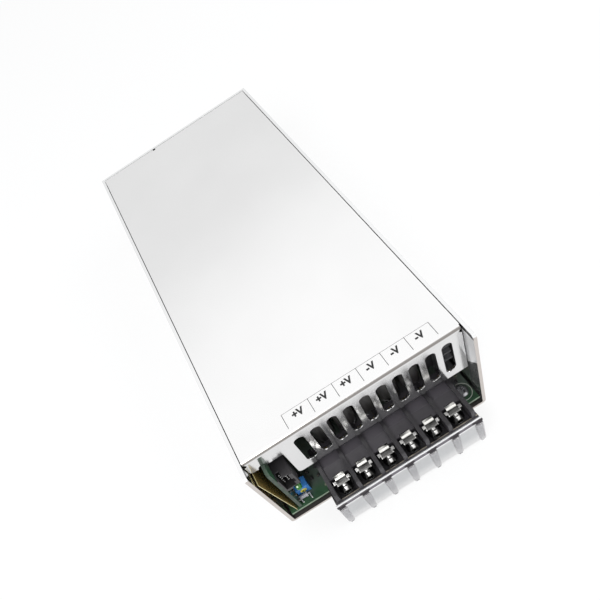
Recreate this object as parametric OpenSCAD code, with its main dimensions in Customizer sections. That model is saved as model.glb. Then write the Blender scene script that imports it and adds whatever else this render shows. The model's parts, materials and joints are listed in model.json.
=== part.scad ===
// Enclosed switching power supply with a slotted cover, an output terminal block with a
// hanging clear flap, a mains input block and a cooling fan.
// Millimetres. The origin is the centre of the case's underside, with +Z up. The output end
// faces -Y, and +X is to the right of someone who looks at the output end.

/* [Case] */
// Length of the case without its terminal blocks
case_l = 218; // [216:1:230]
// Width of the case
case_w = 105; // [104:0.5:108]
// Height of the case
case_h = 63.5; // [63.5:0.5:68]
// Thickness of the chassis sheet
sheet_t = 1.6; // [1.4:0.1:1.8]
// Thickness of the cover sheet
cover_t = 1.2; // [1:0.1:1.4]
// Gap between the cover and the chassis
cover_gap = 0.4; // [0.3:0.1:0.5]
// Distance from the chassis front edge to the cover's front panel
panel_setback = 6; // [5.5:0.5:7]
// Outer radius of the sheet bends
bend_r = 1.8; // [1.7:0.1:2.4]

/* [Vent slots] */
// Number of slots in the front panel
slot_count = 10; // [6:1:10]
// Width of a slot
slot_w = 4.9; // [4:0.1:5.4]
// Distance between neighbouring slots
slot_pitch = 7.68; // [7:0.02:7.8]
// Height of the slots' lower ends
slot_low = 34.4; // [33:0.1:36]
// Height of the slots' upper ends
slot_high = 58.2; // [54:0.1:59]
// Middle of the row of slots
slot_row_x = 8; // [6:0.5:9]

/* [Board] */
// Height of the board's upper face
board_z = 8; // [7:0.5:8]
// Thickness of the board
board_t = 1.6; // [1.4:0.2:1.6]
// Width of the board
board_w = 100; // [98:0.5:100.5]

/* [Terminal blocks] */
// Bays in the output block
out_bays = 6; // [6:1:6]
// Pitch of the output bays
out_pitch = 11.2; // [11:0.1:11.3]
// Middle of the output block
out_x = 6.2; // [6:0.1:6.5]
// Bays in the mains input block
in_bays = 3; // [3:1:3]
// Pitch of the input bays
in_pitch = 10; // [9.9:0.1:10.2]
// Middle of the input block
in_x = -31; // [-31.5:0.5:-30.5]
// Thickness of the barriers between the bays
barrier_t = 1.8; // [1.6:0.1:2]
// Height of the barriers' upper edges
barrier_top = 26; // [26:0.5:27]
// Reach of the flap from its hinge to its free edge
flap_reach = 18; // [15:0.5:18]

/* [Fan] */
// Side of the square fan frame
fan_size = 60; // [60:1:60]
// Depth of the fan frame
fan_depth = 20; // [15:1:20]
// Distance between the fan's fixing holes
fan_hole_pitch = 50; // [50:1:50]
// Middle of the fan
fan_x = 18; // [16:0.5:19]
// Number of fan blades
blade_count = 7; // [5:1:7]

/* [Fixing holes] */
// Spacing of the fixing holes across the base
base_hole_x = 80; // [70:1:84]
// Spacing of the fixing holes along the case
hole_y = 150; // [120:1:150]
// Radius of the fixing holes
hole_r = 2; // [1.5:0.1:2.2]
// Height of the fixing holes in the side walls
side_hole_z = 32; // [28:1:36]

/* [Hidden] */
$fn = 48;
eps = 0.01;
inner_w = case_w - 2 * sheet_t;
cover_w = inner_w - 2 * cover_gap;
// Running clearance on a radius
run_gap = 0.05;

// Distances along Y below are measured from the output end of the chassis
module from_front() {
    translate([0, -case_l / 2, 0]) children();
}

// The same block turned to face the rear, with distances measured from the rear end
module from_rear() {
    translate([0, case_l / 2, 0]) rotate([0, 0, 180]) children();
}

// A rectangle with round corners, in the plane of the sheet
module round_rect(size, r) {
    translate([r, 0]) square([size[0] - 2 * r, size[1]]);
    translate([0, r]) square([size[0], size[1] - 2 * r]);
    for (x = [r, size[0] - r], y = [r, size[1] - r]) translate([x, y]) circle(r);
}

// A profile drawn in Y and Z, extruded along X from x0 by the width w
module along_x(x0, w) {
    translate([x0, 0, 0]) rotate([90, 0, 90]) linear_extrude(w) children();
}

// A profile drawn in X and Z, extruded along +Y from y0 by the depth d
module along_y(y0, d) {
    translate([0, y0 + d, 0]) rotate([90, 0, 0]) linear_extrude(d) children();
}

module hole_x(x0, w, y, z, r) {
    translate([x0, y, z]) rotate([0, 90, 0]) cylinder(r = r, h = w);
}

module hole_y(y0, d, x, z, r) {
    translate([x, y0 + d, z]) rotate([90, 0, 0]) cylinder(r = r, h = d);
}

module ring(r_out, r_in, h) {
    difference() {
        cylinder(r = r_out, h = h);
        translate([0, 0, -eps]) cylinder(r = r_in, h = h + 2 * eps);
    }
}

// A pan head screw, head up, with a cross recess. The origin is under the head.
module pan_screw(head_r, head_h, shank_r, shank_l) {
    difference() {
        union() {
            cylinder(r = head_r, h = head_h * 0.55);
            translate([0, 0, head_h * 0.55]) cylinder(r1 = head_r, r2 = head_r * 0.72, h = head_h * 0.45);
        }
        for (a = [0, 90]) rotate([0, 0, a])
            translate([-head_r * 0.58, -0.35, head_h * 0.4]) cube([head_r * 1.16, 0.7, head_h]);
    }
    translate([0, 0, -shank_l]) cylinder(r = shank_r, h = shank_l);
}

// Chassis

rear_hole_low = 5;
fan_z = sheet_t + 0.4 + fan_size / 2;
cover_screw_y = [30, 190];
cover_screw_z = case_h - 6.5;
in_hole_w = in_bays * in_pitch + barrier_t + 4;

// Outline of the folded U, seen from the output end
module u_profile() {
    difference() {
        translate([-case_w / 2, 0]) union() {
            translate([0, bend_r]) square([case_w, case_h - bend_r]);
            translate([bend_r, 0]) square([case_w - 2 * bend_r, bend_r + eps]);
            for (x = [bend_r, case_w - bend_r]) translate([x, bend_r]) circle(bend_r);
        }
        translate([-inner_w / 2, sheet_t]) square([inner_w, case_h]);
    }
}

module chassis() color([0.80, 0.81, 0.82]) from_front() {
    difference() {
        along_y(0, case_l) u_profile();
        for (x = [-base_hole_x / 2, base_hole_x / 2], y = [-hole_y / 2, hole_y / 2])
            translate([x, case_l / 2 + y, -1]) cylinder(r = hole_r, h = sheet_t + 2);
        for (y = [-hole_y / 2, hole_y / 2])
            hole_x(-case_w / 2 - 1, case_w + 2, case_l / 2 + y, side_hole_z, hole_r);
        for (y = cover_screw_y) {
            hole_x(-case_w / 2 - 1, case_w + 2, y, cover_screw_z, 1.6);
            for (s = [-1, 1]) translate([s * case_w / 2, y, cover_screw_z]) rotate([0, -90 * s, 0])
                translate([0, 0, -eps]) cylinder(r1 = 3, r2 = 1.6, h = 1.4);
        }
        for (p = standoff_places) translate([p[0], p[1], -1]) cylinder(r = spigot_r + 0.05, h = 4);
        // Small chamfers on the walls' upper front corners
        translate([0, 0, case_h]) rotate([45, 0, 0]) cube([case_w + 2, 1.6, 1.6], center = true);
    }
    rear_panel();
}

// Rear panel folded up from the base, with the fan opening and the mains opening
module rear_panel() {
    difference() {
        along_y(case_l - sheet_t, sheet_t)
            translate([-inner_w / 2 + cover_gap, sheet_t - eps])
            square([inner_w - 2 * cover_gap, case_h - sheet_t + eps]);
        hole_y(case_l - 3, 4, -fan_x_front(), fan_z, 28.5);
        for (dx = [-1, 1], dz = [-1, 1])
            hole_y(case_l - 3, 4, -fan_x_front() + dx * fan_hole_pitch / 2, fan_z + dz * fan_hole_pitch / 2, 1.8);
        translate([-in_x_front() - in_hole_w / 2, case_l - 3, rear_hole_low])
            cube([in_hole_w, 5, barrier_top + 2 - rear_hole_low]);
    }
}

// The input block and the fan are placed as seen from the rear
function fan_x_front() = -fan_x;
function in_x_front() = -in_x;

// Cover

panel_y = panel_setback;
panel_left = -cover_w / 2;
panel_right = cover_w / 2 - 0.4;
panel_low = 29.5;
corner_low = 53;
tab_left = -35.2;
flange_h = 11;
notch_r = 1.2;

// Outline of the front panel in X and Z
module panel_outline() {
    tab_r = 2.2;
    difference() {
        union() {
            translate([panel_left, corner_low]) square([panel_right - panel_left, case_h - corner_low - bend_r]);
            translate([tab_left + tab_r, panel_low]) square([panel_right - tab_left - tab_r, 30]);
            translate([tab_left, panel_low + tab_r]) square([10, 25]);
            translate([tab_left + tab_r, panel_low + tab_r]) circle(tab_r);
        }
        // Round corner at the lower left
        translate([panel_left, corner_low]) difference() {
            translate([-eps, -eps]) square(2);
            translate([2, 2]) circle(2);
        }
        // Notch where the upright board passes
        translate([-44.6, corner_low + 0.2]) circle(2.1);
        for (i = [0 : slot_count - 1])
            translate([slot_row_x + (i - (slot_count - 1) / 2) * slot_pitch, 0]) slot_outline();
    }
}

module slot_outline() {
    r = slot_w / 2;
    translate([-r, slot_low + r]) square([slot_w, slot_high - slot_low - slot_w]);
    for (z = [slot_low + r, slot_high - r]) translate([0, z]) circle(r);
}

module cover() color([0.90, 0.90, 0.90]) from_front() {
    rear_y = case_l - sheet_t - cover_gap;
    difference() {
        union() {
            // Front panel, its bend and the top sheet
            along_y(panel_y, cover_t) panel_outline();
            intersection() {
                along_x(panel_left, cover_w) front_bend();
                translate([panel_left, 0, 0]) cube([panel_right - panel_left, 20, 80]);
            }
            translate([panel_left, panel_y + bend_r, case_h - cover_t])
                cube([cover_w, rear_y - panel_y - bend_r, cover_t]);
            // Side flanges, folded down inside the walls
            for (s = [-1, 1])
                translate([s > 0 ? cover_w / 2 - cover_t : -cover_w / 2, panel_y + 12, case_h - flange_h])
                    cube([cover_t, rear_y - panel_y - 20, flange_h - eps]);
        }
        // Relief notches beside the front bend
        for (x = [panel_left, panel_right])
            translate([x, panel_y, case_h - cover_t - 1]) rotate([-90, 0, 0]) cylinder(r = notch_r, h = 2 * bend_r);
        for (y = cover_screw_y) hole_x(-case_w / 2, case_w, y, cover_screw_z, 1.3);
        // Small notch in the rear edge
        translate([-15.3, rear_y - 1.2, case_h - 3]) cube([1.6, 3, 5]);
    }
}

// Quarter bend between the front panel and the top, in Y and Z
module front_bend() {
    translate([panel_y + bend_r, case_h - bend_r]) intersection() {
        difference() {
            circle(bend_r);
            circle(bend_r - cover_t);
        }
        translate([-bend_r - eps, -eps]) square(bend_r + 2 * eps);
    }
}

module cover_screws() color([0.55, 0.56, 0.58]) from_front() {
    for (y = cover_screw_y, s = [-1, 1])
        translate([s * (case_w / 2 - 0.05), y, cover_screw_z]) rotate([0, -90 * s, 0]) difference() {
            union() {
                cylinder(r1 = 2.85, r2 = 1.5, h = 1.3);
                cylinder(r = 1.25, h = 5);
            }
            for (a = [0, 90]) rotate([0, 0, a]) translate([-1.6, -0.3, -eps]) cube([3.2, 0.6, 0.8]);
        }
}

// Amber film that stands inside the left wall and leans in to the board at the bottom
film_t = 0.3;
module insulating_film() color([0.85, 0.60, 0.10]) from_front() {
    translate([0, 0.8, 0]) along_y(0, 186) polygon([
        [-50.3, 51.5], [-46.9, board_z], [-46.9 + film_t, board_z], [-50.3 + film_t, 51.5]
    ]);
}

// Board

// Screw places in X, and in Y from the output end
standoff_places = [[45.2, 6.3], [-36, 26], [44, 98], [-43.2, 98], [45.5, 187.5], [-14, 188]];
standoff_r = 3;
spigot_r = 2.2;
screw_head_r = 2.9;

module main_board() color([0.05, 0.34, 0.14]) from_front() {
    difference() {
        translate([-board_w / 2, 0.4, board_z - board_t]) linear_extrude(board_t) difference() {
            square([board_w, 213.5]);
            translate([36, 192]) square([board_w, 40]);
        }
        for (p = standoff_places) translate([p[0], p[1], 0]) cylinder(r = 1.6, h = 20);
    }
}

// Standoffs with a spigot pressed into the base
module board_standoffs() color([0.78, 0.74, 0.60]) from_front() {
    for (p = standoff_places) translate([p[0], p[1], 0]) difference() {
        union() {
            translate([0, 0, 0.2]) cylinder(r = spigot_r, h = sheet_t);
            translate([0, 0, sheet_t]) cylinder(r = standoff_r, h = board_z - board_t - sheet_t);
        }
        translate([0, 0, -1]) cylinder(r = 1.5, h = board_z + 2);
    }
}

module board_screws() color([0.80, 0.78, 0.72]) from_front() {
    for (p = standoff_places) translate([p[0], p[1], board_z]) rotate([0, 0, 20])
        pan_screw(screw_head_r, 2.2, 1.45, board_z - sheet_t);
}

// Terminal blocks. Y is measured outwards (negative) from the end of the chassis.

lip_y = -10.4;
lip_t = 1;
lip_top = 19;
floor_z = 15.2;
roof_z = 24.6;
wall_y = -2.4;
barrier_y = -10.2;
hinge_y = -11.7;
hinge_z = 18.4;
hinge_r = 1;
// Outer radius of the hooks, and the height of their open ends above the hinge
hook_r = 1.5;
hook_rise = 0.4;
clip_w = 3.2;
flange_w = 1.25;
block_rear = 14;
screw_z = 19.6;
block_foot = 9.5;

function half_w(bays, pitch) = bays * pitch / 2 + barrier_t / 2;
function bay_x(i, bays, pitch) = (i - (bays - 1) / 2) * pitch;
function barrier_x(i, bays, pitch) = (i - bays / 2) * pitch;

// Section through a barrier: level ridge with a blunt, slightly rounded front end, and the lip
module barrier_section() {
    polygon([
        [block_rear, board_z], [block_rear, barrier_top], [barrier_y + 1.2, barrier_top],
        [barrier_y + 0.35, barrier_top - 0.35], [barrier_y, barrier_top - 1.2], [barrier_y, lip_top],
        [lip_y, lip_top], [lip_y, 16.6], [-4, block_foot], [-4, board_z]
    ]);
}

// What is cut away over a bay: the roof has a step, and the pocket has a back wall, floor and lip
module bay_cut() {
    polygon([
        [block_rear + 1, roof_z - 0.9], [3.6, roof_z - 0.9], [3.6, roof_z], [wall_y, roof_z],
        [wall_y, floor_z], [lip_y + lip_t, floor_z], [lip_y + lip_t, lip_top - 0.4],
        [lip_y + lip_t - 0.4, lip_top], [lip_y - 1, lip_top], [lip_y - 1, 40], [block_rear + 1, 40]
    ]);
}

// What is cut away at each end, where only a foot flange with the lip is left
module end_cut() {
    polygon([
        [block_rear + 1, board_z - 1], [0, board_z - 1], [0, 13], [barrier_y + 3, lip_top - 1],
        [lip_y + 0.6, lip_top], [lip_y - 1, lip_top], [lip_y - 1, 40], [block_rear + 1, 40]
    ]);
}

// Hook on the lip, with an open bore that the flap's rod snaps into
module hook_section() {
    difference() {
        polygon(concat(
            [[lip_y + 0.5, 17.3], [lip_y + 0.5, hinge_z + hook_rise]],
            [for (a = [164.5 : 12.5 : 290]) [hinge_y + hook_r * cos(a), hinge_z + hook_r * sin(a)]]
        ));
        translate([hinge_y, hinge_z]) circle(hinge_r + run_gap);
    }
}

// Left edge of each hook. The end hooks stand almost flush with the flanges.
function hook_x(i, bays, pitch) = i == 0 ? -half_w(bays, pitch) - flange_w + 0.1
    : i == bays ? half_w(bays, pitch) + flange_w - clip_w - 0.1 : barrier_x(i, bays, pitch) - clip_w / 2;

module terminal_body(bays, pitch) {
    hw = half_w(bays, pitch);
    bay_w = pitch - barrier_t;
    difference() {
        along_x(-hw - flange_w, 2 * (hw + flange_w)) barrier_section();
        for (x = [-hw - flange_w - 1, hw]) along_x(x, flange_w + 1) end_cut();
        for (i = [0 : bays - 1]) translate([bay_x(i, bays, pitch), 0, 0]) {
            along_x(-bay_w / 2, bay_w) bay_cut();
            // Slot that the tab comes out of, and the screw's blind hole
            translate([-2.5, wall_y - 1, floor_z + 1]) cube([5, 2.1, 20]);
            hole_y(wall_y - 1, 7, 0, screw_z, 2.05);
        }
    }
    for (i = [0 : bays]) along_x(hook_x(i, bays, pitch), clip_w) hook_section();
}

// Bent tab: a short level top that curls down at its front, and a leg down the back wall
module terminal_tabs(bays, pitch) {
    curl = [wall_y - 0.1, 22.6];
    for (i = [0 : bays - 1]) translate([bay_x(i, bays, pitch), 0, 0]) difference() {
        along_x(-2.35, 4.7) polygon(concat(
            [[wall_y, floor_z + 1.2], [wall_y + 0.9, floor_z + 1.2], [wall_y + 0.9, curl[1] + 1.5]],
            [for (a = [90 : 15 : 180]) curl + 1.5 * [cos(a), sin(a)]],
            [for (a = [180 : -15 : 90]) curl + 0.7 * [cos(a), sin(a)]],
            [[wall_y, curl[1] + 0.7]]
        ));
        hole_y(wall_y - 5, 9, 0, screw_z, 2.05);
    }
}

// Square clamp washer with its upper corners turned back as ears, and a spring plate
module terminal_clamps(bays, pitch) {
    clamp_y = wall_y - 1.7;
    for (i = [0 : bays - 1]) translate([bay_x(i, bays, pitch), 0, 0]) difference() {
        union() {
            along_y(clamp_y - 1, 1) translate([-3.9, floor_z + 0.5]) round_rect([7.8, 8.2], 0.8);
            for (x = [-4, 2.6]) translate([x, clamp_y - 1, 22.6]) cube([1.4, 1.5, 1.4]);
            along_y(clamp_y - 1.7, 0.7) translate([-3.3, 16.3]) round_rect([6.6, 6.6], 0.6);
        }
        hole_y(-20, 20, 0, screw_z, 2.05);
    }
}

module terminal_screws(bays, pitch) {
    for (i = [0 : bays - 1]) translate([bay_x(i, bays, pitch), wall_y - 3.4, screw_z]) rotate([90, 45, 0])
        pan_screw(3.1, 2.8, 1.95, 7.2);
}

// Clear flap on a rod, with a tapered rib at each barrier. It hangs from the hinge at the origin.
module flap(bays, pitch) {
    hw = half_w(bays, pitch) + flange_w;
    rod_l = 2 * hw + 0.8;
    plate_t = 1;
    notch_gap = 0.35;
    notch_h = 1.9;
    rib_h = 0.9;
    hole_x(-rod_l / 2, rod_l, 0, 0, hinge_r);
    rotate([-4.5, 0, 0]) {
        difference() {
            along_y(-plate_t / 2, plate_t) translate([-hw, -flap_reach])
                union() {
                    translate([0, 2]) square([2 * hw, flap_reach - 2]);
                    translate([2, 0]) square([2 * hw - 4, 3]);
                    for (x = [2, 2 * hw - 2]) translate([x, 2]) circle(2);
                }
            for (i = [0 : bays]) translate([hook_x(i, bays, pitch) - notch_gap, -5, -notch_h])
                cube([clip_w + 2 * notch_gap, 10, 10]);
        }
        for (i = [0 : bays]) translate([flap_rib_x(i, bays, pitch), -plate_t / 2, 0]) {
            translate([0, eps, -notch_h]) rotate([90, 0, 0]) linear_extrude(rib_h)
                polygon([
                    [-1.45, 0], [1.45, 0], [0.85, 1.2 + notch_h - flap_reach], [-0.85, 1.2 + notch_h - flap_reach]
                ]);
        }
    }
}

function flap_rib_x(i, bays, pitch) = hook_x(i, bays, pitch) + clip_w / 2;

module output_place() {
    from_front() translate([out_x, 0, 0]) children();
}

module input_place() {
    from_rear() translate([in_x_front(), 0, 0]) children();
}

module output_terminal_body() color([0.06, 0.06, 0.07]) output_place() terminal_body(out_bays, out_pitch);
module output_tabs() color([0.82, 0.80, 0.74]) output_place() terminal_tabs(out_bays, out_pitch);
module output_clamps() color([0.75, 0.75, 0.74]) output_place() terminal_clamps(out_bays, out_pitch);
module output_screws() color([0.70, 0.70, 0.70]) output_place() terminal_screws(out_bays, out_pitch);
module output_flap() color([0.80, 0.84, 0.86, 0.5]) output_place()
    translate([0, hinge_y, hinge_z]) flap(out_bays, out_pitch);
module input_terminal_body() color([0.06, 0.06, 0.07]) input_place() terminal_body(in_bays, in_pitch);
module input_tabs() color([0.82, 0.80, 0.74]) input_place() terminal_tabs(in_bays, in_pitch);
module input_clamps() color([0.75, 0.75, 0.74]) input_place() terminal_clamps(in_bays, in_pitch);
module input_screws() color([0.70, 0.70, 0.70]) input_place() terminal_screws(in_bays, in_pitch);
module input_flap() color([0.80, 0.84, 0.86, 0.5]) input_place()
    translate([0, hinge_y, hinge_z]) flap(in_bays, in_pitch);

// Control parts at the left front

upright_x = -45.3;
upright_t = 1.5;
upright_face = upright_x + upright_t;
conn_low = 31;
conn_high = 45;
conn_w = 7.2;
conn_y = 0.8;
conn_d = 9;
// Plug space in the connector, and the middle of its two columns of pins
socket_x = [-43.1, -38.5];
socket_low = 33;
pin_x = -41.3;
pin_z = 38;
pin_pitch = 2;
pin_tip = 4;
led_x = -38.9;
led_y = 1.4;
led_z = 28.1;
led_r = 1.5;
trim_x = -39.7;
trim_y = 5.3;
trim_size = [6.6, 4.9, 7];
rotor_z = 11.6;
rotor_r = 1.7;

module daughter_board() color([0.10, 0.42, 0.20]) from_front() {
    along_x(upright_x, upright_t) polygon([
        [0.9, board_z], [0.9, 53.6], [2.1, 54.8], [34, 54.8], [34, board_z]
    ]);
}

module signal_connector() color([0.07, 0.07, 0.08]) from_front() {
    wall = 0.8;
    top = conn_high - wall;
    difference() {
        translate([upright_face, conn_y, conn_low]) cube([conn_w, conn_d, conn_high - conn_low]);
        translate([socket_x[0], conn_y - 1, socket_low])
            cube([socket_x[1] - socket_x[0], conn_d - 1, top - socket_low]);
        // Keyway in the top wall, over the left pins, and a shallow step over the right ones
        translate([socket_x[0], conn_y - 1, top - 1]) cube([pin_x - socket_x[0], 4.8, 3]);
        translate([socket_x[0], conn_y - 1, top - 1]) cube([socket_x[1] - socket_x[0], 1.7, 3]);
        // Slot for the plug's latch in the thick right wall
        translate([socket_x[1] - 1, conn_y - 1, pin_z - 1.8]) cube([2, 5, 3.6]);
        // Relief at the lower right corner, over the lamp
        translate([-40.6, conn_y - 1, conn_low - 1]) cube([5, 6.7, 2.4]);
        pin_row() cube([0.52, 30, 0.52], center = true);
    }
}

// The ten contact places, in two columns
module pin_row() {
    for (col = [-0.5, 0.5], row = [-2 : 2])
        translate([pin_x + col * pin_pitch, 0, pin_z + row * pin_pitch]) children();
}

module signal_pins() color([0.85, 0.82, 0.72]) from_front() {
    pin_row() translate([-0.25, pin_tip, -0.25]) cube([0.5, conn_y + conn_d + 1.5 - pin_tip, 0.5]);
}

module status_led() color([0.25, 0.75, 0.25]) from_front() {
    holder_y = 7;
    translate([led_x, 0, led_z]) rotate([90, 0, 0]) {
        translate([0, 0, -holder_y]) cylinder(r = led_r + 0.3, h = 1);
        translate([0, 0, 1 - holder_y]) cylinder(r = led_r, h = holder_y - 1 - led_y);
        translate([0, 0, -led_y]) sphere(led_r, $fn = 24);
    }
    // Black right-angle holder that carries the lamp on the upright board
    translate([upright_face, holder_y, led_z - 2]) cube([led_x + 1.9 - upright_face, 3.4, 4]);
}

// Side-adjusted trimmer that stands on the board, with its rotor in the front face
module trimmer_body() color([0.12, 0.36, 0.75]) from_front() {
    difference() {
        translate([trim_x - trim_size[0] / 2, trim_y, board_z]) cube(trim_size);
        hole_y(trim_y - 1, 2.6, trim_x, rotor_z, rotor_r + run_gap);
    }
}

module trimmer_rotor() color([0.90, 0.78, 0.15]) from_front() {
    translate([trim_x, trim_y + 1.55, rotor_z]) rotate([90, 0, 0]) difference() {
        union() {
            cylinder(r = rotor_r, h = 1.45);
            cylinder(r = 1.3, h = 1.7);
        }
        for (a = [0, 90]) rotate([0, 0, a]) translate([-1.05, -0.3, 0.8]) cube([2.1, 0.6, 3]);
    }
}

// Axial part with its leads bent forwards and down into the board
module front_resistor() color([0.80, 0.80, 0.84]) from_front() {
    left = -43.5;
    right = -38;
    y = 3.85;
    z = board_z + 1.9;
    lead_y = 2.3;
    lead_r = 0.3;
    translate([left, y, z]) rotate([0, 90, 0]) {
        cylinder(r = 1.1, h = 1);
        translate([0, 0, 1]) cylinder(r = 0.9, h = 2.5);
        translate([0, 0, 3.5]) cylinder(r = 1.1, h = 1);
    }
    hole_x(left + 4, right - left - 4, y, z, lead_r);
    hole_y(lead_y, y - lead_y, right, z, lead_r);
    hole_y(lead_y, y - lead_y, left + 0.9, z, lead_r);
    translate([right, y, z]) sphere(lead_r, $fn = 16);
    for (x = [right, left + 0.9]) {
        translate([x, lead_y, z]) sphere(lead_r, $fn = 16);
        translate([x, lead_y, board_z]) cylinder(r = lead_r, h = z - board_z);
    }
}

// Fan

fan_bore_r = 28.4;
fan_hub_r = 15;
fan_post_r = 2.4;
fan_shaft_r = 1.5;

module fan_place() {
    translate([fan_x, case_l / 2 - sheet_t, fan_z]) rotate([90, 0, 0]) children();
}

// The frame's local Z runs inwards from the rear panel
module fan_frame() color([0.07, 0.07, 0.08]) fan_place() {
    difference() {
        translate([-fan_size / 2, -fan_size / 2, 0]) linear_extrude(fan_depth) round_rect([fan_size, fan_size], 3);
        translate([0, 0, -1]) cylinder(r = fan_bore_r, h = fan_depth + 2, $fn = 96);
        for (x = [-1, 1], y = [-1, 1]) translate([x, y, 0] * fan_hole_pitch / 2) translate([0, 0, -1])
            cylinder(r = 1.65, h = fan_depth + 2);
        // Waist between the two flanges
        for (a = [0 : 90 : 270]) rotate([0, 0, a]) translate([-18, 29, 3.5])
            cube([36, 3, fan_depth - 7]);
    }
    // Four struts carry the motor plate and its bearing post on the inner side
    for (a = [45 : 90 : 315]) rotate([0, 0, a]) translate([11, -1.1, fan_depth - 2.2])
        cube([fan_bore_r - 10.5, 2.2, 2.2]);
    translate([0, 0, fan_depth - 2.6]) ring(13.5, fan_shaft_r + run_gap, 2.6);
    translate([0, 0, fan_depth - 11]) ring(fan_post_r, fan_shaft_r + run_gap, 8.4 + eps);
    // Stator coils round the post
    for (a = [0 : 90 : 270]) rotate([0, 0, a]) translate([fan_post_r - 0.4, -2.6, fan_depth - 9.4])
        cube([7.4, 5.2, 5]);
}

// One cambered blade: a shell about a radial line, trimmed to the bore
module blade() {
    intersection() {
        ring(fan_bore_r - 0.8, fan_hub_r - 0.6, 14);
        translate([0, -4, 16]) rotate([0, 90, 0]) rotate([0, 0, 0]) difference() {
            cylinder(r = 16, h = 40);
            translate([0, 0, -1]) cylinder(r = 14.8, h = 42);
        }
        translate([0, -9, 0]) cube([40, 13, 12]);
    }
}

module fan_rotor() color([0.09, 0.09, 0.10]) fan_place() {
    hub_z = 2.5;
    hub_h = 14;
    translate([0, 0, hub_z]) difference() {
        union() {
            cylinder(r = fan_hub_r - 0.8, h = 1);
            translate([0, 0, 1]) cylinder(r = fan_hub_r, h = hub_h - 1);
            for (i = [0 : blade_count - 1]) rotate([0, 0, i * 360 / blade_count]) blade();
        }
        translate([0, 0, 1.8]) cylinder(r = fan_hub_r - 1.6, h = hub_h);
    }
    translate([0, 0, hub_z + 1]) cylinder(r = fan_shaft_r, h = fan_depth - hub_z - 1.2);
}

// Wire guard of concentric rings on two crossed bars that end in eyelets
module fan_guard() color([0.72, 0.72, 0.72]) translate([fan_x, case_l / 2, fan_z]) rotate([-90, 0, 0]) {
    wire_r = 0.8;
    diag = fan_hole_pitch * sqrt(2) / 2;
    for (r = [9 : 6.5 : 28.5]) rotate_extrude($fn = 64) translate([r, 2.2]) circle(wire_r, $fn = 16);
    for (a = [45 : 90 : 315]) rotate([0, 0, a]) {
        translate([9, 0, 1.1]) rotate([0, 90, 0]) cylinder(r = wire_r, h = diag - 12.3, $fn = 16);
        translate([diag, 0, 0]) ring(3.4, 1.8, 1.4);
    }
}

module fan_screws() color([0.35, 0.35, 0.36]) translate([fan_x, case_l / 2, fan_z]) rotate([-90, 0, 0]) {
    for (x = [-1, 1], y = [-1, 1]) translate([x * fan_hole_pitch / 2, y * fan_hole_pitch / 2, 1.4])
        pan_screw(3.2, 2, 1.6, 10);
}

// Parts inside, on the board. Y is measured from the output end.

// A can capacitor that stands on the board, with a rolled groove near its foot
module can(x, y, r, h) {
    translate([x, y, board_z]) difference() {
        cylinder(r = r, h = h);
        translate([0, 0, 2.4]) rotate_extrude() translate([r + 0.25, 0]) circle(0.8, $fn = 16);
        for (a = [0, 90]) rotate([0, 0, a]) translate([-r * 0.7, -0.2, h - 0.4]) cube([r * 1.4, 0.4, 1]);
    }
}

// A ring core wound with wire, standing on its rim
module wound_ring(x, y, r_out, r_in, w, turns) {
    translate([x, y, board_z + r_out]) rotate([90, 0, 0]) {
        translate([0, 0, -w / 2]) ring(r_out - 1.6, r_in + 1.6, w);
        for (i = [0 : turns - 1]) rotate([0, 0, 30 + i * 300 / (turns - 1)])
            difference() {
                translate([r_in, -0.7, -w / 2 - 1.2]) cube([r_out - r_in - 0.2, 1.4, w + 2.4]);
                translate([r_in + 1.5, -1, -w / 2 + 0.1]) cube([r_out - r_in - 3.2, 2, w - 0.2]);
            }
    }
}

// A flat heatsink plate with folded fins, along X = x
module heatsink(x, side, y, l, h) {
    plate = 3;
    translate([x, y, board_z]) cube([plate, l, h]);
    for (z = [h - 3 : -6 : h - 21]) translate([side > 0 ? x + plate - eps : x - 4, y, board_z + z])
        cube([4 + eps, l, 1.6]);
}

// A power package that is bolted flat on a plate, face towards -X or +X
module power_case(x, side, y, z) {
    body_t = 4.6;
    translate([side > 0 ? x : x - body_t, y - 8, z]) cube([body_t, 16, 20]);
    for (dy = [-5.4, 0, 5.4]) translate([x + side * body_t / 2 - 0.4, y + dy - 0.6, board_z])
        cube([0.8, 1.2, z - board_z]);
}

sec_sink_x = 42;
pri_sink_x = -38;

module output_capacitors() color([0.13, 0.13, 0.16]) from_front() {
    for (i = [0 : 4]) can(-18 + i * 12, 25, 5, 22);
}

module output_choke() color([0.62, 0.36, 0.16]) from_front() {
    wound_ring(0, 41, 15, 7, 9, 14);
}

module secondary_heatsink() color([0.75, 0.76, 0.78]) from_front() {
    heatsink(sec_sink_x, 1, 16, 74, 36);
}

module secondary_rectifiers() color([0.10, 0.10, 0.11]) from_front() {
    for (y = [30, 52, 74]) power_case(sec_sink_x, -1, y, board_z + 6);
}

module transformer_core() color([0.22, 0.22, 0.23]) from_front() {
    translate([6, 72, board_z]) difference() {
        translate([-21, -8, 0]) cube([42, 16, 42]);
        for (x = [-15, 6]) translate([x, -10, 6]) cube([9, 20, 30]);
    }
}

module transformer_winding() color([0.88, 0.80, 0.42]) from_front() {
    translate([6, 72, board_z + 6.2]) difference() {
        linear_extrude(29.6) translate([-14.8, -16]) round_rect([29.6, 32], 6);
        translate([-6.2, -8.2, -1]) cube([12.4, 16.4, 32]);
    }
    for (y = [58, 86]) translate([-6, y - 2, board_z]) cube([24, 4, 6.3]);
}

module primary_heatsink() color([0.75, 0.76, 0.78]) from_front() {
    heatsink(pri_sink_x, -1, 62, 70, 36);
}

module primary_switches() color([0.10, 0.10, 0.11]) from_front() {
    for (y = [74, 97, 120]) power_case(pri_sink_x + 3, 1, y, board_z + 6);
}

module boost_choke() color([0.70, 0.42, 0.18]) from_front() {
    wound_ring(8, 112, 17, 8, 12, 16);
}

module bulk_capacitors() color([0.12, 0.12, 0.18]) from_front() {
    for (x = [4, 32]) can(x, 142, 12.5, 45);
}

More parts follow.
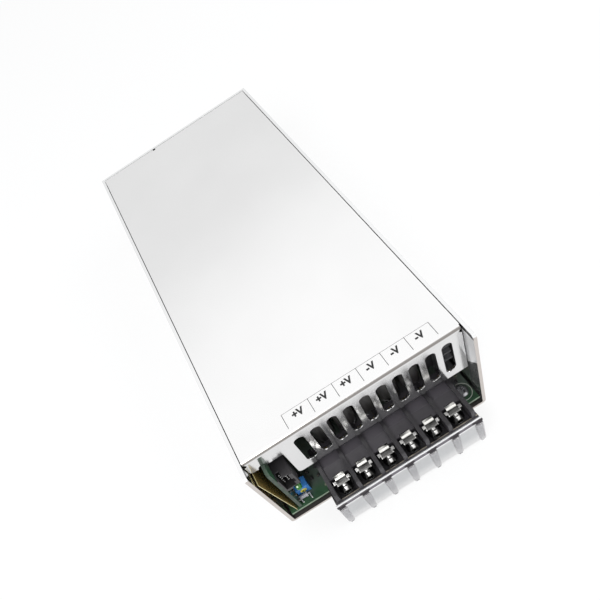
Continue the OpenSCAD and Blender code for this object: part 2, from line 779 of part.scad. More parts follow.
module bridge_rectifier() color([0.10, 0.10, 0.11]) from_front() {
    translate([-33, 138, board_z]) {
        difference() {
            translate([0, 0, 4]) cube([22, 4.6, 17]);
            translate([11, -1, 14]) rotate([-90, 0, 0]) cylinder(r = 1.7, h = 8);
        }
        for (x = [2.2, 8, 13.6, 19.4]) translate([x - 0.6, 1.9, 0]) cube([1.2, 0.8, 4]);
    }
}

module filter_choke() color([0.58, 0.34, 0.15]) from_front() {
    wound_ring(-27.5, 156, 13, 6, 10, 12);
}

module film_capacitor() color([0.90, 0.80, 0.20]) from_front() {
    translate([-27, 173, board_z]) linear_extrude(15) translate([-13, -4.5]) round_rect([26, 9], 1);
}

module suppression_capacitors() color([0.20, 0.35, 0.75]) from_front() {
    for (x = [-4, 8]) translate([x, 166, board_z + 6]) rotate([90, 0, 0]) {
        translate([0, 0, -2]) cylinder(r = 5, h = 4);
        for (dx = [-3, 3]) translate([dx, -6, 0]) rotate([-90, 0, 0]) cylinder(r = 0.4, h = 3);
    }
}

module line_fuse() color([0.85, 0.85, 0.80]) from_front() {
    translate([-43.4, 148, board_z + 4.2]) rotate([-90, 0, 0]) {
        cylinder(r = 2.6, h = 5);
        cylinder(r = 2.3, h = 20);
        translate([0, 0, 15]) cylinder(r = 2.6, h = 5);
    }
    for (y = [149, 164]) translate([-46, y, board_z]) cube([5.2, 3, 3]);
}

module inrush_limiter() color([0.15, 0.28, 0.20]) from_front() {
    translate([-5, 179, board_z + 8]) rotate([90, 0, 0]) {
        cylinder(r = 6.5, h = 4);
        for (dx = [-3.5, 3.5]) translate([dx, -8, 2]) rotate([-90, 0, 0]) cylinder(r = 0.4, h = 4);
    }
}

module relay() color([0.10, 0.10, 0.30]) from_front() {
    translate([24, 160, board_z]) {
        translate([0, 0, 0]) cube([19, 15.5, 14.6]);
        translate([0.6, 0.6, 14.6]) cube([17.8, 14.3, 0.6]);
    }
}

fan_plug_x = 4;
fan_plug_y = 186;

module fan_plug() color([0.92, 0.92, 0.90]) from_front() {
    translate([fan_plug_x - 4, fan_plug_y - 3, board_z]) difference() {
        cube([8, 6, 7]);
        translate([1, -1, 5.6]) cube([6, 2, 3]);
    }
}

// Two-wire lead from the plug up to the motor plate, drawn as one flat tube
lead_r = 1;
lead_points = [
    [4, 186, 15.1], [4, 186, 19], [4.8, 187.2, 22], [7, 189.5, 25], [10, 192, 27.6],
    [13, 193.4, 29.6], [16, 194.4, 30.2], [16, 195.9, 30.2]
];

function unit(v) = v / norm(v);
function tangent(i) = unit(lead_points[min(i + 1, len(lead_points) - 1)] - lead_points[max(i - 1, 0)]);
function side_of(i) = unit(cross(tangent(i), [1, -1, 0.2]));

module fan_lead() color([0.75, 0.10, 0.08]) from_front() {
    sides = 8;
    count = len(lead_points);
    points = [for (i = [0 : count - 1], k = [0 : sides - 1])
        let (u = side_of(i), v = cross(tangent(i), u), a = k * 360 / sides)
        lead_points[i] + lead_r * (cos(a) * u + sin(a) * v)];
    faces = concat(
        [[for (k = [0 : sides - 1]) k]],
        [for (i = [0 : count - 2], k = [0 : sides - 1], half = [0, 1])
            let (n = (k + 1) % sides, a = i * sides, b = (i + 1) * sides)
            half == 0 ? [a + n, a + k, b + k] : [a + n, b + k, b + n]],
        [[for (k = [0 : sides - 1]) count * sides - 1 - k]]
    );
    polyhedron(points = points, faces = faces);
}

chassis();
cover();
cover_screws();
insulating_film();
main_board();
board_standoffs();
board_screws();
output_terminal_body();
output_tabs();
output_clamps();
output_screws();
output_flap();
daughter_board();
signal_connector();
signal_pins();
status_led();
trimmer_body();
trimmer_rotor();
front_resistor();
fan_frame();
fan_rotor();
fan_guard();
fan_screws();
input_terminal_body();
input_tabs();
input_clamps();
input_screws();
input_flap();
line_fuse();
filter_choke();
film_capacitor();
suppression_capacitors();
bridge_rectifier();
inrush_limiter();
relay();
boost_choke();
bulk_capacitors();
primary_heatsink();
primary_switches();
transformer_core();
transformer_winding();
secondary_heatsink();
secondary_rectifiers();
output_choke();
output_capacitors();
fan_plug();
fan_lead();
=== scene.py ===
"""Enclosed switching power supply: finishes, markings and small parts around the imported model."""
import json
import math

import bmesh
import bpy
from mathutils import Matrix, Vector


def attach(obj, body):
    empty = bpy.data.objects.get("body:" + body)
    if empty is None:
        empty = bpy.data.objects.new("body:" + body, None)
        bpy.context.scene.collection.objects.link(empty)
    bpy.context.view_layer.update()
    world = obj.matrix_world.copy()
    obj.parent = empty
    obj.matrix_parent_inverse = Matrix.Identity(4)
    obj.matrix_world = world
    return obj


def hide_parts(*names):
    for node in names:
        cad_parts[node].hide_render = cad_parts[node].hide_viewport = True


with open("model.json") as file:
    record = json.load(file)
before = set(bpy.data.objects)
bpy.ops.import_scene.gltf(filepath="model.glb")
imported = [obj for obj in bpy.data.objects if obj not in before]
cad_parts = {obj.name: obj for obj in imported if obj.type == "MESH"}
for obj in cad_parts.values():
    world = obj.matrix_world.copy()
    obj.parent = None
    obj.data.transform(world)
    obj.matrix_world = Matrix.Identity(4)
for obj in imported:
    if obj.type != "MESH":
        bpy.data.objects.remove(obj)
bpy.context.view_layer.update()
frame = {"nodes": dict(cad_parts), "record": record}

MM = 0.001
# The case and its ends, the base's upper face, the main board's upper face and the notch in the cover
CASE_L, CASE_W, CASE_H = 218.0, 105.0, 63.5
FRONT, REAR = -CASE_L / 2, CASE_L / 2
BASE_Z, BOARD_Z = 1.6, 8.0
NOTCH_X = -14.5
# Terminal blocks: middle, pitch of the bays and their number
OUTPUT_X, OUTPUT_PITCH, OUTPUT_BAYS = 6.2, 11.2, 6
INPUT_X, INPUT_PITCH, INPUT_BAYS = -31.0, 10.0, 3
# Hinges of the flaps, outwards from the ends of the case and up, and the lean of their plates in degrees
HINGE_OUT, HINGE_Z, LEAN = 11.7, 18.4, -4.5
# On the blocks: height of the barriers' ridges, height and reach of the lip, and reach of the screws
RIDGE_Z, LIP_Z, LIP_OUT, SCREW_OUT = 25.4, 19.4, 9.65, 7.1
# Middles of the connector's socket, the trimmer's rotor and the board screw at the front right
SOCKET_X, SOCKET_Z = -40.8, 38.6
ROTOR_X, ROTOR_Z = -39.7, 11.6
BOARD_SCREW_X, BOARD_SCREW_Y = 45.2, FRONT + 6.3
# Face of the upright board
UPRIGHT_X = -43.8


# Node trees

class Field:
    """A node's output that Python's operators work on, by adding Math nodes."""

    def __init__(self, graph, socket):
        self.graph, self.socket = graph, socket

    def __add__(self, other):
        return self.graph.math("ADD", self, other)

    def __sub__(self, other):
        return self.graph.math("SUBTRACT", self, other)

    def __rsub__(self, other):
        return self.graph.math("SUBTRACT", other, self)

    def __mul__(self, other):
        return self.graph.math("MULTIPLY", self, other)

    def __truediv__(self, other):
        return self.graph.math("DIVIDE", self, other)

    def __gt__(self, other):
        return self.graph.math("GREATER_THAN", self, other)

    def __lt__(self, other):
        return self.graph.math("LESS_THAN", self, other)

    def __abs__(self):
        return self.graph.math("ABSOLUTE", self)

    __radd__, __rmul__ = __add__, __mul__

    def wave(self):
        return self.graph.math("SINE", self)

    def sign(self):
        return self.graph.math("SIGN", self)

    def to(self, low, high, out_low=0.0, out_high=1.0):
        """Maps low..high smoothly to out_low..out_high."""
        return self.graph.node(
            "ShaderNodeMapRange", {"interpolation_type": "SMOOTHSTEP"},
            {"Value": self, "From Min": low, "From Max": high, "To Min": out_low, "To Max": out_high})

    def parts(self):
        """The three parts of a vector."""
        split = self.graph.node("ShaderNodeSeparateXYZ", None, {0: self}).socket.node
        return [Field(self.graph, split.outputs[i]) for i in range(3)]


class Graph:
    """A node tree with short calls for its nodes."""

    def __init__(self, tree):
        self.tree = tree

    def feed(self, socket, value):
        """Links a field to a socket, or sets the socket to a value. A colour may leave out its alpha."""
        if isinstance(value, Field):
            self.tree.links.new(value.socket, socket)
        elif hasattr(socket.default_value, "__len__") and len(socket.default_value) == len(value) + 1:
            socket.default_value = (*value, 1.0)
        else:
            socket.default_value = value

    def node(self, kind, settings=None, inputs=None, out=0):
        """Adds a node, and returns the field of one of its outputs."""
        made = self.tree.nodes.new(kind)
        for key, value in (settings or {}).items():
            setattr(made, key, value)
        for key, value in (inputs or {}).items():
            self.feed(made.inputs[key], value)
        return Field(self, made.outputs[out])

    def math(self, operation, *values):
        return self.node("ShaderNodeMath", {"operation": operation}, dict(enumerate(values)))

    def most(self, one, other):
        """The greater of two fields."""
        return self.math("MAXIMUM", one, other)

    def vector(self, x, y, z):
        return self.node("ShaderNodeCombineXYZ", None, {0: x, 1: y, 2: z})

    def blend(self, factor, low, high):
        """A shader between low and high."""
        return self.node("ShaderNodeMixShader", None, {0: factor, 1: low, 2: high})

    def plain_rays(self):
        """Fields that are 1 on a camera, a glossy or a transmission ray, and one for any of the three."""
        path = self.tree.nodes.new("ShaderNodeLightPath")
        camera, glossy, clear = [Field(self, path.outputs[f"Is {kind} Ray"])
                                 for kind in ("Camera", "Glossy", "Transmission")]
        return camera, glossy, clear, self.most(self.most(camera, glossy), clear)


class Finish(Graph):
    """A material, with its Principled shader and the calls that build its pattern."""

    def __init__(self, name, **shader):
        self.material = bpy.data.materials.new(name)
        self.material.use_nodes = True
        super().__init__(self.material.node_tree)
        self.shader = self.tree.nodes["Principled BSDF"]
        self.place = self.node("ShaderNodeTexCoord", out="Object")
        self.set(**shader)

    def ends_in(self, shader):
        """Takes another shader than the plain Principled one."""
        self.tree.links.new(shader.socket, self.tree.nodes["Material Output"].inputs[0])
        return self

    def plain(self):
        return Field(self, self.shader.outputs[0])

    def mix(self, factor, low, high):
        """A colour between low and high."""
        return self.node("ShaderNodeMix", {"data_type": "RGBA"}, {0: factor, 6: low, 7: high}, out=2)

    def axes(self):
        """The place on the piece, in millimetres, as three fields."""
        return [part * 1000.0 for part in self.place.parts()]

    def facing(self):
        """The surface's direction, as three fields."""
        return Field(self, self.place.socket.node.outputs["Normal"]).parts()

    def noise(self, scale, detail=2.0, rough=0.5, stretch=(1, 1, 1)):
        """Noise with features about 1 / scale metres across, drawn out along an axis by stretch."""
        moved = self.node("ShaderNodeMapping", None,
                          {"Vector": self.place, "Scale": tuple(1 / s for s in stretch)})
        return self.node("ShaderNodeTexNoise", None,
                         {"Vector": moved, "Scale": scale, "Detail": detail, "Roughness": rough})

    def cells(self, scale):
        """The distance from the middles of scattered cells."""
        return self.node("ShaderNodeTexVoronoi", None, {"Vector": self.place, "Scale": scale},
                         out="Distance")

    def off_bay(self, x, middle, pitch):
        """How far x is from the middle of its bay. Counting on by 20 keeps the fraction positive."""
        return abs(self.math("FRACT", (x - middle) / pitch + 20.5) - 0.5) * pitch

    def set(self, **inputs):
        for key, value in inputs.items():
            self.feed(self.shader.inputs[key.replace("_", " ")], value)
        return self

    def bump(self, height, distance):
        """Raises the surface by distance millimetres where height is 1."""
        self.set(Normal=self.node("ShaderNodeBump", None,
                                  {"Height": height, "Distance": distance * MM, "Strength": 1.0}))
        return self


def painted(mesh, look):
    """Leaves a mesh with one finish on all its faces."""
    mesh.materials.clear()
    mesh.materials.append(FINISHES[look])
    for poly in mesh.polygons:
        poly.material_index = 0
    return mesh


class Grower(Graph):
    """A geometry node tree in millimetres. Named inputs go to the modifier. The result is a plain mesh."""

    def __init__(self, name):
        super().__init__(bpy.data.node_groups.new(name, "GeometryNodeTree"))
        self.name = name
        self.tree.is_modifier = True
        self.tree.interface.new_socket("Geometry", in_out="OUTPUT", socket_type="NodeSocketGeometry")
        self.given = self.tree.nodes.new("NodeGroupInput")
        self.values = {}

    def input(self, name, value):
        """A named input of the tree, with the value that the modifier gives it."""
        kind = {int: "Int", float: "Float", tuple: "Vector"}[type(value)]
        made = self.tree.interface.new_socket(name, in_out="INPUT", socket_type="NodeSocket" + kind)
        self.values[made.identifier] = value
        return Field(self, self.given.outputs[name])

    def index(self):
        return self.node("GeometryNodeInputIndex")

    def random(self, low, high, seed):
        kind = "FLOAT_VECTOR" if isinstance(low, tuple) else "FLOAT"
        at = 0 if kind == "FLOAT_VECTOR" else 2
        return self.node("FunctionNodeRandomValue", {"data_type": kind},
                         {at: low, at + 1: high, "Seed": seed}, out=0 if at == 0 else 1)

    def line(self, count, start, offset):
        return self.node("GeometryNodeMeshLine", {"mode": "OFFSET"},
                         {"Count": count, "Start Location": start, "Offset": offset})

    def cube(self, size):
        return self.node("GeometryNodeMeshCube", None, {"Size": size})

    def placed(self, points, shape, **inputs):
        return self.node("GeometryNodeInstanceOnPoints", None,
                         {"Points": points, "Instance": shape, **inputs})

    def moved(self, shape, **inputs):
        return self.node("GeometryNodeTransform", None, {"Geometry": shape, **inputs})

    def mesh(self, geometry, look):
        """Ends the tree, and returns its result as a plain mesh with a finish."""
        sized = self.moved(geometry, Scale=(MM, MM, MM))
        real = self.node("GeometryNodeRealizeInstances", None, {0: sized})
        dressed = self.node("GeometryNodeSetMaterial", None, {"Geometry": real, "Material": FINISHES[look]})
        self.tree.links.new(dressed.socket, self.tree.nodes.new("NodeGroupOutput").inputs[0])
        carrier = bpy.data.objects.new(self.name, bpy.data.meshes.new(self.name))
        bpy.context.scene.collection.objects.link(carrier)
        modifier = carrier.modifiers.new("grown", "NODES")
        modifier.node_group = self.tree
        for identifier, value in self.values.items():
            modifier[identifier] = value
        bpy.context.view_layer.update()
        mesh = bpy.data.meshes.new_from_object(carrier.evaluated_get(bpy.context.evaluated_depsgraph_get()))
        carrier.modifiers.clear()
        bpy.data.objects.remove(carrier)
        mesh.name = self.name
        return painted(mesh, look)


# Finishes

def rolled(name, tone, rough, grain, marks, depth):
    """Starts rolled aluminium: a fine grain along Y, soft clouds and a few handling marks."""
    f = Finish(name, Metallic=1.0)
    lines = f.noise(900, 3, 0.6, (1, 40, 1))
    clouds = f.noise(22, 4, 0.6)
    specks = f.noise(420, 2, 0.7).to(0.62, 0.8)
    f.bump(lines * 0.7 + clouds * 0.3, depth)
    colour = f.mix(clouds.to(0.3, 0.7), [t * 0.975 for t in tone], tone)
    return f, colour, rough + (lines - 0.5) * grain + (clouds - 0.5) * marks + specks * 0.04


def chassis_sheet(name, tone, cut, gap_shade):
    """Rolled sheet: rougher, darker cut edges at the open end, a painted highlight on the upper edges, and
    painted shade in the gaps beside the cover, in the notch, on the base's upper face and low on the right
    wall's inner face.
    """
    f, colour, rough = rolled(name, tone, 0.17, 0.05, 0.06, 0.002)
    (nx, ny, nz), (x, y, z) = f.facing(), f.axes()
    raised = z > BASE_Z + 0.8
    edge = f.most((nz > 0.35) * raised * (z < CASE_H - 4.0), (ny < -0.35) * (y < FRONT + 4.0))
    # Painted shade on the base's upper face under the boards, in a dark copy of the cut tone
    shaded_inside = (nz > 0.5) * (z < BASE_Z + 0.8)
    colour = f.mix(shaded_inside, colour, [t * 0.15 for t in cut])
    upper = z > CASE_H - 3.0
    # Painted shade in the gaps beside the cover and in the notch
    beside = (abs(nx) > 0.7) * (abs(x) < CASE_W / 2 - 0.5) * upper
    behind = (ny < -0.7) * (y > REAR - 3.0)
    notch = behind * (abs(x - NOTCH_X) < 0.9)
    colour = f.mix(f.most(beside, notch), f.mix(edge, colour, cut), gap_shade)
    # Painted shade on the right wall's inner face near the front, below a slanting line, with less metal
    right = (nx < -0.7) * (x > CASE_W / 2 - 3.0) * (y < FRONT + 7.0)
    colour = f.mix(right * (z < 41.0 + (y - FRONT) * -1.3), colour, [t * 4.5 for t in gap_shade])
    # A painted highlight: the upper edges paler and less metallic than the sheet
    lit_crest = f.most(nz > 0.35, behind - notch) * upper
    f.set(Base_Color=f.mix(lit_crest, colour, (0.8, 0.8, 0.8)), Roughness=rough + edge * 0.25 + shaded_inside * 0.4,
          Metallic=1.0 - f.most(right * 0.7, lit_crest * 0.58))
    return f.material


def cover_sheet(name, tone, front, bend_shade):
    """Rolled sheet, smoother on the front panel, with painted shade: the front panel a little darker, a
    dark line along the bent edge, and dark side faces along the top.
    """
    f, colour, rough = rolled(name, tone, 0.2, 0.03, 0.04, 0.0007)
    (nx, ny, nz), z = f.facing(), f.axes()[2]
    ahead = ny.to(-0.8, -0.98)
    # Painted shade: a dark line along the bent edge, and the front panel a little darker than the top
    line = (ny < -0.2) * z.to(CASE_H - 1.3, CASE_H - 0.9) * nz.to(0.95, 0.85)
    colour = f.mix(line, f.mix(ahead, colour, [t * front for t in tone]), bend_shade)
    # Painted shade on the side faces along the top, in the gaps beside the walls
    colour = f.mix((abs(nx) > 0.7) * (z > CASE_H - 3.0), colour, [t * 0.1 for t in bend_shade])
    return f.set(Base_Color=colour, Roughness=rough * (1.0 - ahead * 0.25)).material


def plated(name, tone, rough=0.25, upright_shade=0.4, lit=(0.05, 0.85)):
    """Plated metal with painted light: lighter where it faces up, painted shade on its upright faces, and
    small patches.
    """
    f = Finish(name, Metallic=1.0)
    patches = f.noise(500, 4, 0.6)
    # Painted light and shade: the colour goes from the shaded tone to the full tone as the surface turns up
    f.set(Base_Color=f.mix(f.facing()[2].to(*lit) * (0.75 + patches * 0.5), [t * upright_shade for t in tone], tone),
          Roughness=rough + (patches - 0.5) * 0.2)
    return f.bump(patches, 0.004).material


def screw_steel(name, tone):
    """Terminal screws that face outwards: two painted highlights along the top of each head, and painted
    shade on the rest.
    """
    f = Finish(name, Metallic=1.0)
    nx, _, nz = f.facing()
    patches = f.noise(500, 4, 0.6)
    # Painted highlights where the head faces up near its middle line, split in two by a dark gap; painted
    # shade elsewhere
    split = abs(abs(f.axes()[1]) - (REAR + SCREW_OUT)).to(0.15, 0.4)
    share = nz.to(0.3, 0.6) * abs(nx).to(0.27, 0.09) * split
    f.set(Base_Color=f.mix(share, [t * 0.06 for t in tone], tone), Roughness=0.2 + (patches - 0.5) * 0.2)
    return f.bump(patches, 0.004).material


def clamp_steel(name, tone, middle, pitch):
    """Plated clamps in a row of bays, with painted light: highlights on the ears, a grey line on the spring
    plate, and painted shade on the rest.
    """
    f = Finish(name, Metallic=1.0)
    nz, (x, _, z) = f.facing()[2], f.axes()
    ear_z, spring_z = 22.5, 23.3
    ear = (f.off_bay(x, middle, pitch) > 2.55) * (z > ear_z)
    patches = f.noise(500, 4, 0.6)
    # Painted light where the clamps face up: full on the ears, partly below the spring plate's top, faintly
    # elsewhere
    share = nz.to(0.2, 0.8) * f.most(ear, (z < spring_z) * 0.3 + 0.06)
    f.set(Base_Color=f.mix(share, [t * 0.14 for t in tone], tone), Roughness=0.2 + (patches - 0.5) * 0.2)
    return f.bump(patches, 0.001).material


def grained(name, tone, rough, grain, sheen=0.0):
    """Starts moulded plastic with a fine spark texture and faint flow clouds."""
    f = Finish(name)
    spark = f.noise(3500, 2, 0.6)
    flow = f.noise(60, 3, 0.55)
    f.set(Roughness=rough + (flow - 0.5) * 0.14 + (spark - 0.5) * 0.1, Coat_Weight=sheen)
    f.bump(spark, grain)
    return f, f.mix(flow.to(0.3, 0.75), [t * 0.85 for t in tone], [min(1, t * 1.12) for t in tone])


def moulded(name, tone, rough=0.42, grain=0.012, sheen=0.0):
    """Moulded plastic without marks."""
    f, colour = grained(name, tone, rough, grain, sheen)
    return f.set(Base_Color=colour).material


def block_moulding(name, tone, lip):
    """Terminal blocks: painted shade on the barriers' ridges, painted light on the roof by the panel, and a
    painted highlight in patches along the lip.
    """
    f, colour = grained(name, tone, 0.4, 0.012)
    level, (_, y, z) = f.facing()[2] > 0.6, f.axes()
    outwards = abs(y) - REAR
    glint_patches = f.noise(160, 2, 0.6).to(0.35, 0.6)
    # Painted light on the level roof by the panel, against the panel's shadow
    colour = f.mix(level * (outwards < -3.3), colour, [t * 1.8 for t in tone])
    # Painted shade on the level tops of the barriers' ridges
    colour = f.mix(level * (z > RIDGE_Z), colour, [t * 0.5 for t in tone])
    # A painted highlight along the lip, broken into patches
    on_lip = level * (abs(outwards - LIP_OUT) < 0.28) * (z < LIP_Z)
    return f.set(Base_Color=f.mix(on_lip * glint_patches, colour, lip)).material


def socket_moulding(name, tone):
    """The upright board's connector, with painted shade within its socket."""
    f, colour = grained(name, tone, 0.5, 0.012)
    x, y, z = f.axes()
    # Painted shade within the socket
    across = (abs(x - SOCKET_X) < 2.4) * (abs(z - SOCKET_Z) < 5.65)
    shaded_inside = across * (y > FRONT + 1.0) * (y < FRONT + 9.6)
    return f.set(Base_Color=f.mix(shaded_inside, colour, [t * 0.3 for t in tone])).material


def pin_metal(name, tone):
    """Connector pins: painted pale on their tips as a highlight, with painted shade along their length."""
    f, colour = grained(name, tone, 0.25, 0.002, 0.5)
    # A painted highlight on the tips, and painted shade behind them
    tip = f.most(f.axes()[1] < FRONT + 4.15, f.facing()[1] < -0.5)
    return f.set(Base_Color=f.mix(tip, [t * 0.05 for t in tone], colour)).material


def rotor_moulding(name, tone):
    """The trimmer's rotor, with painted shade round its cross slot."""
    f, colour = grained(name, tone, 0.36, 0.01, 0.1)
    x, _, z = f.axes()
    off_x, off_z = x - ROTOR_X, z - ROTOR_Z
    # Painted shade round the cross slot
    recess_shade = (off_x * off_x + off_z * off_z).to(1.3, 0.6)
    return f.set(Base_Color=f.mix(recess_shade, colour, [t * 0.12 for t in tone])).material


def circuit_board(name, under_cover_shade, mask, fibre, flat):
    """Solder mask over tracks, with small vias, and bare fibre on the edges across the flat axis; away from
    the front and on the underside, a painted shade colour takes the mask's place, for the shade under the
    cover.
    """
    f = Finish(name)
    tracks = ((f.noise(70, 0, 0.5, (1, 3, 1)) * 22).wave()).to(-0.15, 0.15)
    ring = f.cells(120).to(0.10, 0.085)
    via = f.cells(120).to(0.05, 0.04)
    weave = f.noise(1500, 2, 0.5)
    edge = abs(f.facing()[flat]).to(0.75, 0.6)
    # Painted shade: the mask's colour only near the front, and a dark colour beyond it and on the
    # underside, under the cover
    near_front = (f.axes()[1] + f.noise(90, 2, 0.6) * 8.0).to(FRONT + 14.0, FRONT + 6.0)
    colour = f.mix(near_front * (f.facing()[2] > -0.5), under_cover_shade, mask)
    colour = f.mix(tracks * 0.3, colour, [m * 1.8 for m in mask])
    colour = f.mix(ring, colour, (0.22, 0.23, 0.17))
    colour = f.mix(via, colour, (0.01, 0.01, 0.008))
    rough_cut = f.noise(260, 2, 0.7).to(0.4, 0.62)
    colour = f.mix(edge, colour, f.mix(rough_cut, [t * 0.55 for t in fibre], fibre))
    f.set(Base_Color=colour, Roughness=0.34 + (weave - 0.5) * 0.2 + edge * 0.2)
    return f.bump(tracks * 0.7 + ring * 0.3, 0.02).material


def clear_moulding(name, tone, pale, middle, pitch):
    """Clear plastic of a flap: a rod painted white for its highlights with a dark line of painted shade,
    darker at the ribs, and a fading plate with a painted highlight along its top.
    """
    f = Finish(name, IOR=1.49, Transmission_Weight=1.0)
    (_, ny, nz), (x, y, z) = f.facing(), f.axes()
    flow = f.noise(120, 3, 0.5)
    drop = HINGE_Z - z
    plate = f.mix(flow.to(0.3, 0.7), [t * 0.97 for t in tone], tone)
    # Paler far down the plate, and in a painted highlight along its top edge
    away = f.most(drop.to(9.0, 17.5), drop.to(2.5, 2.2))
    f.set(Base_Color=f.mix(away, plate, pale), Roughness=0.05 + flow * 0.08)
    f.bump(flow, 0.01)
    off_hinge = abs(y) - (REAR + HINGE_OUT)
    rod = (off_hinge * off_hinge + drop * drop < 1.15) * (abs(drop) < 1.05)
    off_rib = pitch / 2 - f.off_bay(x, middle, pitch)
    # The rod is painted: white for its highlights, and a dark line of painted shade for the black block
    # seen through it, darker at the ribs
    line = f.mix(off_rib.to(2.6, 2.2), (0.13, 0.12, 0.135), (0.03, 0.025, 0.03))
    bright = f.most((ny * y.sign()).to(0.2, 0.02), nz.to(0.34, 0.18))
    painted_rod = f.node("ShaderNodeBsdfPrincipled", None,
                   {"Base Color": f.mix(bright, line, (0.95, 0.95, 0.96)), "Roughness": 0.25})
    straight = f.node("ShaderNodeBsdfTransparent", None, {"Color": (1.0, 1.0, 1.0)})
    flap = f.blend(rod, f.plain(), painted_rod)
    return f.ends_in(f.blend(drop.to(17.2, 17.7), flap, straight)).material


def tinted(name, tone, rough):
    """A thin veil of clear plastic that darkens what is seen through it, with a little sheen."""
    f = Finish(name, Base_Color=(0.8, 0.8, 0.8))
    flow = f.noise(120, 3, 0.5)
    f.set(Roughness=rough + flow * 0.1)
    straight = f.node("ShaderNodeBsdfTransparent", None, {"Color": tone})
    return f.ends_in(f.blend(0.04 + flow * 0.04, straight, f.plain())).material


def coloured_lens(name, tone):
    """A short clear lamp with a painted highlight on its dome, darker towards its rear, and a black body
    and holder behind it.
    """
    f = Finish(name, IOR=1.5)
    (nx, ny, nz), y = f.facing(), f.axes()[1]
    holder = (y - (FRONT + 3.1)).to(0.0, 0.1)
    # A painted highlight: a pale spot where the dome faces up, to the front and to the left
    lens_highlight = (nz * 0.92 - ny * 0.22 - nx * 0.32).to(0.93, 0.985) * (y < FRONT + 1.5)
    flecks = f.noise(2500, 2, 0.5)
    colour = f.mix((y - FRONT).to(0.6, 3.0), tone, [t * 0.4 for t in tone])
    colour = f.mix(holder, f.mix(lens_highlight, colour, (0.75, 0.95, 0.65)), (0.02, 0.02, 0.022))
    f.set(Base_Color=colour, Roughness=0.12 + holder * 0.35 + flecks * 0.04)
    return f.bump(flecks, 0.003).material


def film(name, low, high, rim):
    """Thin amber sheet with paler cut edges."""
    f = Finish(name, IOR=1.6, Transmission_Weight=0.15)
    clouds = f.noise(40, 4, 0.6)
    edge = abs(f.facing()[0]).to(0.75, 0.45)
    f.set(Base_Color=f.mix(edge, f.mix(clouds.to(0.3, 0.7), low, high), rim),
          Roughness=0.16 + clouds * 0.12)
    return f.bump(clouds, 0.05).material


def wire_coil(name, tone):
    """Enamelled wire, streaked along its strands."""
    f = Finish(name, Metallic=0.55)
    strands = f.noise(500, 3, 0.5)
    f.set(Base_Color=f.mix(strands.to(0.3, 0.7), [t * 0.6 for t in tone], tone),
          Roughness=0.24 + strands * 0.15)
    return f.bump(strands, 0.02).material


def sleeve(name, tone):
    """Dark shrink sleeve on the sides of a can, and bare metal on its top."""
    f = Finish(name)
    top = f.facing()[2].to(0.6, 0.9)
    creases = f.noise(140, 3, 0.6, (1, 1, 5))
    side = f.mix(creases.to(0.3, 0.7), tone, [t * 1.2 for t in tone])
    f.set(Base_Color=f.mix(top, side, (0.20, 0.20, 0.21)), Metallic=top, Roughness=0.3 + creases * 0.1)
    return f.bump(creases, 0.02).material


# Flap plate: its grey tint, and the paler tone far down and in the painted highlight along its top
FLAP_TONES = (0.60, 0.61, 0.625), (0.82, 0.82, 0.825)
CLAMP_TONE = (0.95, 0.94, 0.92)
OUTPUT_BAY = OUTPUT_X + OUTPUT_PITCH / 2

